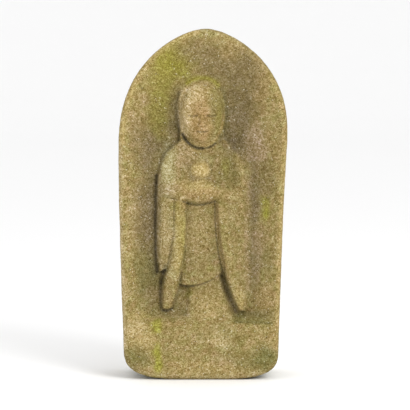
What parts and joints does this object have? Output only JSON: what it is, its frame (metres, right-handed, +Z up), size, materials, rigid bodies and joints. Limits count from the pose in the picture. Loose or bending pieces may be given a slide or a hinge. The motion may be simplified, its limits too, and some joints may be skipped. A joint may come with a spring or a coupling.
{
  "type": "stone jizo statue",
  "caption": "Small weathered stone relief of a standing monk holding a jewel, in a shallow niche of an arched block with a plain plinth.",
  "frame": {"origin": "middle of the bounding box at the underside", "axes": "+Z up, -Y the way the carved face looks, +X to the viewer's right"},
  "size_m": [0.2406, 0.1208, 0.5],
  "materials": {
    "weathered_stone": "coarse granular stone, matt and weathered, with yellow-green moss in patches"
  },
  "bodies": {
    "root": {"jizo_stone": "weathered_stone"}
  },
  "joints": []
}
